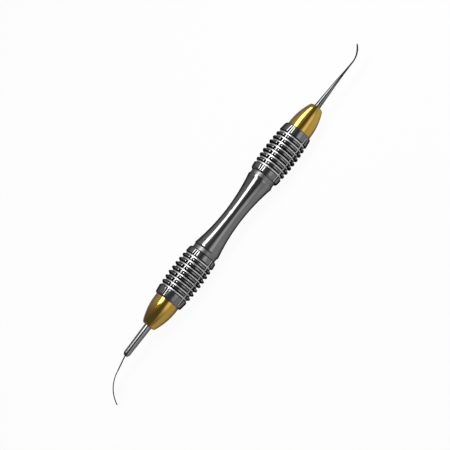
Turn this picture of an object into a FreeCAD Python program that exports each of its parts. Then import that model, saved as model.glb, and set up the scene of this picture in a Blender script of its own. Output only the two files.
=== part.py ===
"""Double-ended dental spatula, lying at rest on a table.

Units are millimetres and +Z is up. The handle's axis runs along X, with the short tapered tip at the
+X end and the thin spatula blade at the -X end. The origin is the point on the table straight below
the middle of the handle. Both grips rest on their middle ribs, and the blade bends towards -Y until
its edge meets the table.

Each end is drawn in a frame of its own: its origin is the middle of the handle's end face, x runs
outward along the axis, y is the way the working end bends and z is across the blade. Those frames are
then turned and moved to their place.
"""
import FreeCAD
import Part
import Sketcher

import math
import os
import re

V = FreeCAD.Vector
Turn = FreeCAD.Rotation
QUARTER = math.pi / 2
HALF_TURN = 180
FULL_TURN = 360

doc = FreeCAD.newDocument("DentalSpatula")


# Driving sizes, in millimetres, degrees or whole numbers

SIZES = {
    # Handle
    "handle_length": 80.9,
    "waist_length": 34.1,
    "waist_radius": 3.6,
    "waist_arc_radius": 78,
    "neck_length": 1.55,
    "neck_radius": 5.05,
    "grip_centre": 29.07,
    "grip_radius": 6.62,
    "barrel_radius": 75,
    "band_edge_radius": 5.45,
    "band_bevel": 0.45,
    "handle_bore_radius": 2.3,
    # Ring grooves and lengthwise grooves of the grips
    "ring_groove_count": 8,
    "ring_pitch": 2.065,
    "ring_floor_radius": 5.55,
    "ring_groove_width": 0.86,
    "long_groove_count": 5,
    "long_groove_floor_radius": 5.75,
    "long_groove_angle": 66,
    "long_groove_turn": 43.5,
    # Gold end cones
    "cone_length": 11.8,
    "cone_base_radius": 5.03,
    "cone_collar_length": 1.0,
    "cone_ogive_radius": 25,
    "cone_tip_rounding": 1.1,
    "spigot_radius": 3.6,
    "spigot_length": 7,
    "spigot_clearance": 0.03,
    "spigot_end_gap": 0.2,
    # Lower shank
    "lower_shank_length": 13.8,
    "lower_shank_root_radius": 1.5,
    "lower_shank_nose_radius": 1.3,
    "nose_bevel_length": 0.95,
    "nose_face_radius": 0.75,
    "shank_clearance": 0.02,
    "tang_length": 14,
    # Spatula blade
    "blade_thickness": 0.36,
    "blade_width": 7.2,
    "blade_neck_width": 2.2,
    "blade_root_length": 4.3,
    "blade_root_bend_radius": 3,
    "blade_root_angle": 12,
    "blade_straight_length": 6.4,
    "blade_bend_radius": 13,
    "blade_bend_angle": 53.5,
    "blade_outline_angle": 45,
    "blade_neck_fillet": 12,
    "blade_flare_angle": 13.5,
    "blade_widest_from_tip": 4.4,
    "blade_shoulder_radius": 2.9,
    "blade_tip_radius": 0.9,
    "slit_clearance": 0.02,
    # Upper tip
    "upper_shank_root_radius": 1.26,
    "upper_shank_length": 12.4,
    "upper_shank_end_radius": 0.66,
    "leaf_width": 2.5,
    "leaf_neck_width": 1.9,
    "leaf_tip_width": 1.0,
    "leaf_neck_thickness": 0.78,
    "leaf_root_thickness": 0.5,
    "leaf_thickness": 0.42,
    "leaf_tip_thickness": 0.34,
    "leaf_neck_share": 0.5,
    "leaf_even_share": 0.35,
    "leaf_taper_share": 0.7,
    "leaf_taper_width_share": 0.94,
    "leaf_point_share": 0.9,
    "leaf_set_back_angle": 1.5,
    "leaf_straight_length": 9.2,
    "leaf_bend_radius": 10.6,
    "leaf_bend_angle": 49,
}

sizes = doc.addObject("Spreadsheet::Sheet", "Sizes")
for row, (name, number) in enumerate(SIZES.items(), start=1):
    sizes.set(f"A{row}", name)
    sizes.set(f"B{row}", str(number))
    sizes.setAlias(f"B{row}", name)
doc.recompute()


def value(expression):
    """What an expression in size names comes to, as a plain number."""
    result = sizes.evalExpression(bound(expression))
    return float(getattr(result, "Value", result))


def bound(expression):
    """The expression with each size name pointed at the sheet, for setExpression."""
    return re.sub(r"\b([a-z]+_[a-z_]+)\b", r"Sizes.\1", expression)


def sine(angle_name):
    return f"sin({angle_name} * 1 deg)"


def cosine(angle_name):
    return f"cos({angle_name} * 1 deg)"


# Sketch helpers

def new_body(label):
    body = doc.addObject("PartDesign::Body", label)
    body.Label = label
    return body


def origin_feature(body, role):
    """The body's own origin plane or axis with this role."""
    return next(feature for feature in body.Origin.OriginFeatures if feature.Role == role)


def new_sketch(body, name, role):
    sketch = body.newObject("Sketcher::SketchObject", name)
    sketch.AttachmentSupport = [(origin_feature(body, role), "")]
    sketch.MapMode = "FlatFace"
    return sketch


def fix_point(sketch, edge, end, x, y):
    """Hold one point of an edge at x and y, each an expression, or None where other rules give it."""
    for kind, axis, expression in (("DistanceX", -2, x), ("DistanceY", -1, y)):
        if expression is None:
            continue
        if expression == "0":
            sketch.addConstraint(Sketcher.Constraint("PointOnObject", edge, end, axis))
            continue
        rule = Sketcher.Constraint(kind, -1, 1, edge, end, value(expression))
        number = sketch.addConstraint(rule)
        sketch.setExpression(f"Constraints[{number}]", bound(expression))


def fix_radius(sketch, edge, radius):
    number = sketch.addConstraint(Sketcher.Constraint("Radius", edge, value(radius)))
    sketch.setExpression(f"Constraints[{number}]", bound(radius))


def end_at(sketch, edge, point):
    """Which end of an edge lies at the point: 1 for its start, 2 for its end."""
    gaps = [sketch.getPoint(edge, end).distanceToPoint(point) for end in (1, 2)]
    return 1 if gaps[0] < gaps[1] else 2


def on_arc(arc, x):
    """The point of an arc at this x, as numbers."""
    cx = value(arc[0])
    cy = value(arc[1])
    radius = value(arc[2])
    side = arc[3]
    return V(value(x), cy + side * math.sqrt(radius ** 2 - (value(x) - cx) ** 2), 0)


def height_on(x, cx, cy, radius):
    """The height of the upper side of a circle at x, as an expression."""
    return f"{cy} + sqrt({radius} * {radius} - ({x} - ({cx})) * ({x} - ({cx})))"


def closed_profile(sketch, corners, arcs):
    """A closed outline through the corners.

    A corner is a pair of expressions, and the second is None where an arc gives it. arcs maps the number
    of an edge to its centre's x and y, its radius, and +1 for an arc that bulges upward or -1 for one
    that sags.
    """
    points = []
    for number, (x, y) in enumerate(corners):
        if y is None:
            points.append(on_arc(arcs.get(number) or arcs[number - 1], x))
        else:
            points.append(V(value(x), value(y), 0))
    count = len(points)
    for number, start in enumerate(points):
        finish = points[(number + 1) % count]
        if number not in arcs:
            sketch.addGeometry(Part.LineSegment(start, finish))
            continue
        centre = V(value(arcs[number][0]), value(arcs[number][1]), 0)
        middle = (start + finish) * 0.5 - centre
        middle.normalize()
        sketch.addGeometry(Part.Arc(start, centre + middle * value(arcs[number][2]), finish))
    for number, start in enumerate(points):
        before = (number - 1) % count
        here = end_at(sketch, number, start)
        rule = Sketcher.Constraint("Coincident", before, end_at(sketch, before, start), number, here)
        sketch.addConstraint(rule)
        fix_point(sketch, number, here, *corners[number])
    for number, (cx, cy, radius, _side) in arcs.items():
        fix_point(sketch, number, 3, cx, cy)
        fix_radius(sketch, number, radius)


def revolve(body, sketch, kind="PartDesign::Revolution"):
    turned = body.newObject(kind, sketch.Name + "Turned")
    turned.Profile = sketch
    turned.ReferenceAxis = (sketch, ["H_Axis"])
    turned.Angle = FULL_TURN
    return turned


# Handle: the half towards +X is turned and ribbed, mirrored, then cut lengthwise

LEAST_STEP = 1e-6


def make_handle():
    """Between two ring grooves the rib is turned straight, to the barrel's height at its own middle.

    The steps from rib to rib lie in the middle of the grooves, which take them away. The plain bands at
    the grip's ends taper along the barrel's arc.
    """
    body = new_body("handle")
    band = "waist_length / 2 + neck_length"
    half = "handle_length / 2"
    socket = "spigot_radius + spigot_clearance"
    socket_floor = "handle_length / 2 - spigot_length - spigot_end_gap"
    barrel = ("grip_centre", "grip_radius - barrel_radius", "barrel_radius")
    inner_crest = band + " + band_bevel"
    outer_crest = half + " - band_bevel"
    ring_places = []
    for ring_number in range(round(value("ring_groove_count"))):
        ring_places.append(f"grip_centre + ({ring_number} - (ring_groove_count - 1) / 2) * ring_pitch")
    ribs = []
    for before, after in zip(ring_places, ring_places[1:]):
        rib_height = height_on(f"({before} + {after}) / 2", *barrel)
        if not ribs or abs(value(rib_height) - value(ribs[-1][1])) > LEAST_STEP:
            ribs.append((before, rib_height))
        ribs.append((after, rib_height))
    first_height = height_on(ring_places[0], *barrel)
    last_height = height_on(ring_places[-1], *barrel)
    outline = new_sketch(body, "HandleOutline", "XY_Plane")
    corners = [
        ("0", "handle_bore_radius"),
        ("0", None),
        ("waist_length / 2", None),
        ("waist_length / 2", "neck_radius"),
        (band, "neck_radius"),
        (band, "band_edge_radius"),
        (inner_crest, height_on(inner_crest, *barrel)),
        (ring_places[0], first_height),
        *ribs,
        (ring_places[-1], last_height),
        (outer_crest, height_on(outer_crest, *barrel)),
        (half, "band_edge_radius"),
        (half, socket),
        (socket_floor, socket),
        (socket_floor, "handle_bore_radius"),
    ]
    waist = ("0", "waist_radius + waist_arc_radius", "waist_arc_radius", -1)
    closed_profile(outline, corners, {1: waist})
    revolve(body, outline)

    # One ring groove, open past the highest rib, then its row along the grip
    first = ring_places[0]
    side = "ring_groove_width / 2"
    ring = new_sketch(body, "RingGroove", "XY_Plane")
    corners = [
        (f"{first} - {side}", "ring_floor_radius"),
        (f"{first} + {side}", "ring_floor_radius"),
        (f"{first} + {side}", "grip_radius + neck_length"),
        (f"{first} - {side}", "grip_radius + neck_length"),
    ]
    closed_profile(ring, corners, {})
    groove = revolve(body, ring, "PartDesign::Groove")
    row = body.newObject("PartDesign::LinearPattern", "RingRow")
    row.Originals = [groove]
    row.Direction = (ring, ["H_Axis"])
    row.Mode = "Spacing"
    row.setExpression("Offset", bound("ring_pitch"))
    row.setExpression("Occurrences", bound("ring_groove_count"))
    body.Tip = row
    doc.recompute()

    both = body.newObject("PartDesign::Mirrored", "BothGrips")
    both.TransformMode = "Whole shape"
    both.MirrorPlane = (origin_feature(body, "YZ_Plane"), [""])
    body.Tip = both
    doc.recompute()

    # One lengthwise V-groove, straight through both grips, then its copies around the axis
    top = "(grip_radius + neck_length)"
    spread = f"({top} - long_groove_floor_radius) * tan(long_groove_angle / 2 * 1 deg)"
    vee = new_sketch(body, "LongGroove", "YZ_Plane")
    corners = [("0", "long_groove_floor_radius"), (spread, top), (f"-({spread})", top)]
    closed_profile(vee, corners, {})
    vee.AttachmentOffset = FreeCAD.Placement(V(0, 0, 0), Turn(V(0, 0, 1), value("long_groove_turn")))
    vee.setExpression("AttachmentOffset.Rotation.Angle", bound("long_groove_turn"))
    cut = body.newObject("PartDesign::Pocket", "LongGrooveCut")
    cut.Profile = vee
    cut.Type = "ThroughAll"
    cut.SideType = "Symmetric"
    around = body.newObject("PartDesign::PolarPattern", "LongGrooves")
    around.Originals = [cut]
    around.Axis = (origin_feature(body, "X_Axis"), [""])
    around.Angle = FULL_TURN
    around.setExpression("Occurrences", bound("long_groove_count"))
    body.Tip = around
    return body


# Gold cones: an ogive with a rounded small end, a spigot for the handle and a blind bore for the tang.
# The ogive is turned in a few tapers between points of its arc, and so is the rounding.

OGIVE_STEPS = 3
ROUND_STEPS = 2


def make_cone(label, tang_radius):
    body = new_body(label)
    bore = tang_radius + " + shank_clearance"
    ogive_x = "cone_collar_length"
    ogive_y = "cone_base_radius - cone_ogive_radius"
    reach = "(cone_length - cone_tip_rounding - cone_collar_length)"
    inner = "(cone_ogive_radius - cone_tip_rounding)"
    round_x = "cone_length - cone_tip_rounding"
    round_y = f"{ogive_y} + sqrt({inner} * {inner} - {reach} * {reach})"
    run = f"(cone_ogive_radius * {reach} / {inner})"
    shares = [f"{step} / {OGIVE_STEPS}" for step in range(1, OGIVE_STEPS)]
    tapers = [f"cone_collar_length + {run} * {share}" for share in shares]
    meeting = f"cone_collar_length + {run}"
    slope = f"asin({reach} / {inner})"
    to_square = f"(acos(0) - {slope})"
    turns = [f"({slope} + {to_square} * {step} / {ROUND_STEPS})" for step in range(1, ROUND_STEPS)]
    outline = new_sketch(body, label + "_outline", "XY_Plane")
    corners = [
        ("-spigot_length", "0"),
        ("-spigot_length", "spigot_radius"),
        ("0", "spigot_radius"),
        ("0", "cone_base_radius"),
        ("cone_collar_length", "cone_base_radius"),
        *((x, height_on(x, ogive_x, ogive_y, "cone_ogive_radius")) for x in tapers),
        (meeting, height_on(meeting, ogive_x, ogive_y, "cone_ogive_radius")),
        *((f"{round_x} + cone_tip_rounding * sin{turn}", f"{round_y} + cone_tip_rounding * cos{turn}")
          for turn in turns),
        ("cone_length", round_y),
        ("cone_length", bore),
        ("cone_length - tang_length", bore),
        ("cone_length - tang_length", "0"),
    ]
    closed_profile(outline, corners, {})
    revolve(body, outline)
    return body


# Lower shank: a round rod with a bevelled nose, slit across for the blade's root

NOSE = "(cone_length + lower_shank_length)"


def make_lower_shank():
    body = new_body("lower_shank")
    outline = new_sketch(body, "LowerShankOutline", "XY_Plane")
    corners = [
        ("cone_length - tang_length", "0"),
        ("cone_length - tang_length", "lower_shank_root_radius"),
        ("cone_length", "lower_shank_root_radius"),
        (f"{NOSE} - nose_bevel_length", "lower_shank_nose_radius"),
        (NOSE, "nose_face_radius"),
        (NOSE, "0"),
    ]
    closed_profile(outline, corners, {})
    revolve(body, outline)
    slit = new_sketch(body, "NoseSlit", "XY_Plane")
    gap = "(blade_thickness / 2 + slit_clearance)"
    corners = [
        (f"{NOSE} - blade_root_length", f"-{gap}"),
        (f"{NOSE} + nose_bevel_length", f"-{gap}"),
        (f"{NOSE} + nose_bevel_length", gap),
        (f"{NOSE} - blade_root_length", gap),
    ]
    closed_profile(slit, corners, {})
    cut = body.newObject("PartDesign::Pocket", "NoseSlitCut")
    cut.Profile = slit
    cut.Type = "ThroughAll"
    cut.SideType = "Symmetric"
    body.Tip = cut
    return body


# Spatula blade: a thin strip swept along its bend, then cut to its spade outline

ROOT_SIN = sine("blade_root_angle")
ROOT_COS = cosine("blade_root_angle")
END_SIN = sine("(blade_root_angle + blade_bend_angle)")
END_COS = cosine("(blade_root_angle + blade_bend_angle)")
BEND_X = f"{NOSE} + blade_root_bend_radius * {ROOT_SIN} + blade_straight_length * {ROOT_COS}"
BEND_Y = f"blade_root_bend_radius * (1 - {ROOT_COS}) + blade_straight_length * {ROOT_SIN}"
TIP_X = f"{BEND_X} + blade_bend_radius * ({END_SIN} - {ROOT_SIN})"
TIP_Y = f"{BEND_Y} + blade_bend_radius * ({ROOT_COS} - {END_COS})"


def arc_by_angles(cx, cy, radius, start, finish):
    """An arc around a centre, anticlockwise between two angles."""
    circle = Part.Circle(V(cx, cy, 0), V(0, 0, 1), radius)
    return Part.ArcOfCircle(circle, start, finish)


def make_blade_path(body):
    """The strip's middle line: its root, a small bend at the nose, a straight stretch and the long bend."""
    path = new_sketch(body, "BladePath", "XY_Plane")
    nose = value(NOSE)
    small = value("blade_root_bend_radius")
    large = value("blade_bend_radius")
    root_angle = math.radians(value("blade_root_angle"))
    end_angle = root_angle + math.radians(value("blade_bend_angle"))
    bend = V(value(BEND_X), value(BEND_Y), 0)
    leave_x = nose + small * math.sin(root_angle)
    leave_y = small * (1 - math.cos(root_angle))
    centre_x = bend.x - large * math.sin(root_angle)
    centre_y = bend.y + large * math.cos(root_angle)
    path.addGeometry(Part.LineSegment(V(nose - value("blade_root_length"), 0, 0), V(nose, 0, 0)))
    path.addGeometry(arc_by_angles(nose, small, small, -QUARTER, root_angle - QUARTER))
    path.addGeometry(Part.LineSegment(V(leave_x, leave_y, 0), bend))
    path.addGeometry(arc_by_angles(centre_x, centre_y, large, root_angle - QUARTER, end_angle - QUARTER))
    path.addConstraint(Sketcher.Constraint("Tangent", 0, 2, 1, 1))
    path.addConstraint(Sketcher.Constraint("Tangent", 1, 2, 2, 1))
    path.addConstraint(Sketcher.Constraint("Tangent", 2, 2, 3, 1))
    fix_point(path, 0, 1, f"{NOSE} - blade_root_length", "0")
    fix_point(path, 0, 2, NOSE, "0")
    fix_radius(path, 1, "blade_root_bend_radius")
    fix_radius(path, 3, "blade_bend_radius")
    fix_point(path, 2, 2, BEND_X, BEND_Y)
    fix_point(path, 3, 2, TIP_X, None)
    return path


def make_outline_cut(body):
    """What is cut away on one side of the blade's middle, seen square on to the spade."""
    cut = new_sketch(body, "BladeOutline", "XZ_Plane")
    angle = value("blade_outline_angle")
    cut.AttachmentOffset = FreeCAD.Placement(V(value(TIP_X), 0, -value(TIP_Y)), Turn(V(0, 1, 0), angle))
    cut.setExpression("AttachmentOffset.Base.x", bound(TIP_X))
    cut.setExpression("AttachmentOffset.Base.z", bound(f"-({TIP_Y})"))
    cut.setExpression("AttachmentOffset.Rotation.Angle", bound("blade_outline_angle"))
    neck = value("blade_neck_width") / 2
    flare = math.radians(value("blade_flare_angle"))
    fillet = value("blade_neck_fillet")
    shoulder = value("blade_shoulder_radius")
    tip = value("blade_tip_radius")
    back = "-(blade_root_length + blade_straight_length + blade_bend_radius + blade_width)"
    crest_x = -value("blade_widest_from_tip")
    crest_y = value("blade_width") / 2 - shoulder
    apart = math.hypot(-tip - crest_x, crest_y)
    fall = math.asin((shoulder - tip) / apart) + math.atan2(crest_y, -tip - crest_x)
    flare_x = crest_x - shoulder * math.sin(flare)
    flare_y = crest_y + shoulder * math.cos(flare)
    fillet_y = neck + fillet
    leave_y = fillet_y - fillet * math.cos(flare)
    leave_x = flare_x - (flare_y - leave_y) / math.tan(flare)
    fillet_x = leave_x - fillet * math.sin(flare)
    side_x = crest_x + shoulder * math.sin(fall)
    side_y = crest_y + shoulder * math.cos(fall)
    round_x = -tip + tip * math.sin(fall)
    round_y = tip * math.cos(fall)
    far = value("blade_width")
    cut.addGeometry(Part.LineSegment(V(value(back), neck, 0), V(fillet_x, neck, 0)))
    cut.addGeometry(arc_by_angles(fillet_x, fillet_y, fillet, -QUARTER, flare - QUARTER))
    cut.addGeometry(Part.LineSegment(V(leave_x, leave_y, 0), V(flare_x, flare_y, 0)))
    cut.addGeometry(arc_by_angles(crest_x, crest_y, shoulder, QUARTER - fall, QUARTER + flare))
    cut.addGeometry(Part.LineSegment(V(side_x, side_y, 0), V(round_x, round_y, 0)))
    cut.addGeometry(arc_by_angles(-tip, 0, tip, 0, QUARTER - fall))
    cut.addGeometry(Part.LineSegment(V(0, 0, 0), V(far, 0, 0)))
    cut.addGeometry(Part.LineSegment(V(far, 0, 0), V(far, far, 0)))
    cut.addGeometry(Part.LineSegment(V(far, far, 0), V(value(back), far, 0)))
    cut.addGeometry(Part.LineSegment(V(value(back), far, 0), V(value(back), neck, 0)))
    for first, first_end, second, second_end in (
        (0, 2, 1, 1), (1, 2, 2, 1), (2, 2, 3, 2), (3, 1, 4, 1), (4, 2, 5, 2),
    ):
        cut.addConstraint(Sketcher.Constraint("Tangent", first, first_end, second, second_end))
    for first, first_end, second in ((5, 1, 6), (6, 2, 7), (7, 2, 8), (8, 2, 9), (9, 2, 0)):
        cut.addConstraint(Sketcher.Constraint("Coincident", first, first_end, second, 1))
    fix_point(cut, 0, 1, back, "blade_neck_width / 2")
    cut.addConstraint(Sketcher.Constraint("Horizontal", 0))
    fix_radius(cut, 1, "blade_neck_fillet")
    number = cut.addConstraint(Sketcher.Constraint("Angle", 2, flare))
    cut.setExpression(f"Constraints[{number}]", bound("blade_flare_angle * 1 deg"))
    fix_point(cut, 3, 3, "-blade_widest_from_tip", "blade_width / 2 - blade_shoulder_radius")
    fix_radius(cut, 3, "blade_shoulder_radius")
    fix_point(cut, 5, 3, "-blade_tip_radius", "0")
    fix_radius(cut, 5, "blade_tip_radius")
    fix_point(cut, 6, 1, None, "0")
    fix_point(cut, 7, 1, "blade_width", "0")
    fix_point(cut, 8, 1, "blade_width", "blade_width")
    fix_point(cut, 9, 1, back, "blade_width")
    return cut


def make_blade():
    body = new_body("spatula_blade")
    path = make_blade_path(body)
    section = new_sketch(body, "BladeSection", "YZ_Plane")
    start = f"{NOSE} - blade_root_length"
    section.AttachmentOffset = FreeCAD.Placement(V(0, 0, value(start)), Turn())
    section.setExpression("AttachmentOffset.Base.z", bound(start))
    edge = "blade_thickness / 2"
    side = "blade_width / 2"
    corners = [(f"-{edge}", f"-{side}"), (edge, f"-{side}"), (edge, side), (f"-{edge}", side)]
    closed_profile(section, corners, {})
    strip = body.newObject("PartDesign::AdditivePipe", "BladeStrip")
    strip.Profile = section
    strip.Spine = (path, [])
    body.Tip = strip
    doc.recompute()
    cut = body.newObject("PartDesign::Pocket", "BladeOutlineCut")
    cut.Profile = make_outline_cut(body)
    cut.Type = "ThroughAll"
    cut.SideType = "Symmetric"
    other = body.newObject("PartDesign::Mirrored", "BladeOtherSide")
    other.Originals = [cut]
    other.MirrorPlane = (origin_feature(body, "XY_Plane"), [""])
    body.Tip = other
    return body


# Upper tip: a tapered shank that is ground down to a thin, hooked leaf.
# A regular octagon's side is this share of its width: the tangent of a sixteenth of a turn.

CORNER_SHARE = "tan(22.5 deg)"

def leaf_section(number, x, y, heading, width, thickness):
    """One cross-section of the leaf, square to its middle line at x and y.

    It is a regular octagon, which fits the round shank, stretched to the width and the thickness.
    """
    section = doc.addObject("Sketcher::SketchObject", f"LeafSection{number}")
    side = f"({width}) / 2"
    face = f"({thickness}) / 2"
    short_side = f"{side} * {CORNER_SHARE}"
    short_face = f"{face} * {CORNER_SHARE}"
    corners = [
        (side, short_face),
        (short_side, face),
        (f"-({short_side})", face),
        (f"-({side})", short_face),
        (f"-({side})", f"-({short_face})"),
        (f"-({short_side})", f"-({face})"),
        (short_side, f"-({face})"),
        (side, f"-({short_face})"),
    ]
    closed_profile(section, corners, {})
    along = V(math.cos(heading), math.sin(heading), 0)
    across = V(0, 0, 1)
    section.Placement = FreeCAD.Placement(V(x, y, 0), Turn(across, along.cross(across), along, "ZXY"))
    return section


def make_upper_tip():
    outline = doc.addObject("Sketcher::SketchObject", "UpperShankOutline")
    end = "cone_length + upper_shank_length"
    corners = [
        ("cone_length - tang_length", "0"),
        ("cone_length - tang_length", "upper_shank_root_radius"),
        ("cone_length", "upper_shank_root_radius"),
        (end, "upper_shank_end_radius"),
        (end, "0"),
    ]
    closed_profile(outline, corners, {})
    shank = doc.addObject("Part::Revolution", "UpperShank")
    shank.Source = outline
    shank.Axis = V(1, 0, 0)
    shank.Angle = FULL_TURN
    shank.Solid = True

    back = math.radians(value("leaf_set_back_angle"))
    straight = value("leaf_straight_length")
    radius = value("leaf_bend_radius")
    bend = math.radians(value("leaf_bend_angle"))
    start_x = value(end)
    shank_width = "(2 * upper_shank_end_radius)"
    stations = [
        (0, shank_width, shank_width),
        (value("leaf_neck_share"), "leaf_neck_width", "leaf_neck_thickness"),
        (1, "leaf_width", "leaf_root_thickness"),
    ]
    sections = []
    for share, width, thickness in stations:
        x = start_x + share * straight * math.cos(back)
        y = -share * straight * math.sin(back)
        heading = -back if share else 0
        sections.append(leaf_section(len(sections), x, y, heading, width, thickness))
    bends = [
        (value("leaf_even_share"), "leaf_width", "leaf_thickness"),
        (value("leaf_taper_share"), "(leaf_taper_width_share * leaf_width)", "leaf_thickness"),
        (value("leaf_point_share"), "((leaf_width + leaf_tip_width) / 2)", "leaf_tip_thickness"),
        (1, "leaf_tip_width", "leaf_tip_thickness"),
    ]
    for share, width, thickness in bends:
        heading = share * bend - back
        turn_x = x + radius * (math.sin(heading) + math.sin(back))
        turn_y = y + radius * (math.cos(back) - math.cos(heading))
        sections.append(leaf_section(len(sections), turn_x, turn_y, heading, width, thickness))
    leaf = doc.addObject("Part::Loft", "Leaf")
    leaf.Sections = sections
    leaf.Solid = True
    whole = doc.addObject("Part::Fuse", "upper_tip")
    whole.Base = shank
    whole.Tool = leaf
    whole.Label = "upper_tip"
    return whole


handle = make_handle()
lower_cone = make_cone("lower_cone", "lower_shank_root_radius")
upper_cone = make_cone("upper_cone", "upper_shank_root_radius")
lower_shank = make_lower_shank()
spatula_blade = make_blade()
upper_tip = make_upper_tip()
doc.recompute()


# Rest on the table: the handle's axis lies one grip radius up, and the instrument is rolled about it
# until the blade's edge comes down to the table

POINTS_PER_EDGE = 60


def resting_roll(blade_shape):
    """The roll, in degrees, at which the blade's lowest point meets the table.

    A point at a distance reach from the axis, first at the angle atan2(y, z) from straight up, is one
    grip radius below the axis once the roll has brought it to pi - acos(grip / reach) from straight up.
    """
    grip = value("grip_radius")
    rolls = []
    for edge in blade_shape.Edges:
        for point in edge.discretize(POINTS_PER_EDGE):
            reach = math.hypot(point.y, point.z)
            if reach > grip:
                rolls.append(math.pi - math.acos(grip / reach) - math.atan2(point.y, point.z))
    return math.degrees(min(rolls))


roll = Turn(V(1, 0, 0), resting_roll(spatula_blade.Shape))
half_length = value("handle_length") / 2
axis_height = value("grip_radius")
middle = FreeCAD.Placement(V(0, 0, axis_height), roll)
upper_end = FreeCAD.Placement(V(half_length, 0, axis_height), roll)
lower_end = FreeCAD.Placement(V(-half_length, 0, axis_height), roll * Turn(V(0, 0, 1), HALF_TURN))

handle.Placement = middle
upper_cone.Placement = upper_end
upper_tip.Placement = upper_end
for piece in (lower_cone, lower_shank, spatula_blade):
    piece.Placement = lower_end
doc.recompute()


# Check every object and write the pieces

pieces = [handle, lower_cone, upper_cone, lower_shank, spatula_blade, upper_tip]
for item in doc.Objects:
    if "Invalid" in item.State or "Error" in item.State:
        raise RuntimeError(f"{item.Label} failed: {item.State}")
os.makedirs("parts", exist_ok=True)
for piece in pieces:
    if piece.Shape.isNull() or not piece.Shape.isValid():
        raise RuntimeError(f"{piece.Label} has no sound shape")
    piece.Shape.exportStep(f"parts/{piece.Label}.step")
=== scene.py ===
"""Dressed model of a double-ended dental spatula, lying at rest on a pale table.

The handle's axis runs along X, a grip radius above the table. Each end has a frame of its own: its
origin is the middle of the handle's end face, x runs outward, y is the way the working end bends and
z is across the blade. Lengths below are in millimetres and become metres as a mesh is made.
"""

import math

import bpy
import numpy as np
from mathutils import Matrix, Vector


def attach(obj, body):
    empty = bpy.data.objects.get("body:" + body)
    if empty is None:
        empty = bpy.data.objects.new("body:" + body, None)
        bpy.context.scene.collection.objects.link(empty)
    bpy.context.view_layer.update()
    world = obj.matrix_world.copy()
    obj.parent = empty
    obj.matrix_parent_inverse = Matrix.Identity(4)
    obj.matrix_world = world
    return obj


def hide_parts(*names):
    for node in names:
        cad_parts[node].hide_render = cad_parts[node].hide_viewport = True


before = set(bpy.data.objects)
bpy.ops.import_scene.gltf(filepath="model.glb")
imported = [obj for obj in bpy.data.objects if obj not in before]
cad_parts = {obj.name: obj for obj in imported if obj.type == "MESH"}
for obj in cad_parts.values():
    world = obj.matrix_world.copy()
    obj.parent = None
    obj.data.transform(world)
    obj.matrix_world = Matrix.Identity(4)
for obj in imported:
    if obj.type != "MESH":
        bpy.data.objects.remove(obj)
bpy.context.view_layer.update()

MM = 0.001
FULL_TURN = 2 * math.pi
HALF_HANDLE = 40.45
AXIS_HEIGHT = 6.62
# The roll at which the blade's edge comes down to the table
ROLL = math.radians(42.763)


# Placing and meshing

def in_place(points, end):
    """Points of an end's own frame, or of the handle's, moved to the table's frame in metres.

    The upper end lies at +X. The lower end is turned half round about z first, so x and y change
    sign. Both are rolled about X and lifted by the axis height.
    """
    x, y, z = points[..., 0], points[..., 1], points[..., 2]
    if end == "lower":
        x, y = -HALF_HANDLE - x, -y
    elif end == "upper":
        x = HALF_HANDLE + x
    up = y * math.sin(ROLL) + z * math.cos(ROLL) + AXIS_HEIGHT
    return np.stack([x, y * math.cos(ROLL) - z * math.sin(ROLL), up], axis=-1) * MM


def skin(name, points, along_closed=False):
    """A mesh object from a grid of points, rows along the piece and columns around it.

    Columns always close on themselves. Rows close on themselves for a ring, and otherwise the first
    and last rows are brought together in one point each, the middle of the row. Every cell of the
    grid is one four-sided face, and an end is a fan of triangles round its middle point.
    """
    rows, columns = points.shape[:2]
    flat = points.reshape(-1, 3)
    number = np.arange(rows * columns).reshape(rows, columns)
    below = number if along_closed else number[:-1]
    above = np.roll(number, -1, axis=0) if along_closed else number[1:]
    cells = np.stack(
        [below, np.roll(below, -1, axis=1), np.roll(above, -1, axis=1), above], axis=-1
    ).reshape(-1, 4)
    faces = cells.tolist()
    if not along_closed:
        first, last = len(flat), len(flat) + 1
        flat = np.concatenate([flat, points[[0, -1]].mean(axis=1)])
        start, finish = number[0], number[-1]
        fans = np.concatenate([
            np.stack([np.roll(start, -1), start, np.full(columns, first)], axis=-1),
            np.stack([finish, np.roll(finish, -1), np.full(columns, last)], axis=-1),
        ])
        faces += fans.tolist()
    mesh = bpy.data.meshes.new(name)
    mesh.from_pydata(flat.tolist(), [], faces)
    mesh.validate()
    mesh.polygons.foreach_set("use_smooth", np.ones(len(mesh.polygons), dtype=bool))
    mesh.update()
    piece = bpy.data.objects.new(name, mesh)
    bpy.context.collection.objects.link(piece)
    return piece


def dress(piece, material, node):
    """Give a finished piece its material, and let it stand for its solid."""
    piece.data.materials.append(material)
    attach(piece, "root")
    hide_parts(node)


# The most of a side that one corner's rounding takes
MOST_OF_A_SIDE = 0.45
# Keeps the two ends of a profile, which have no corner, from a division by zero
SHARPEST = 1e-3


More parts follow.
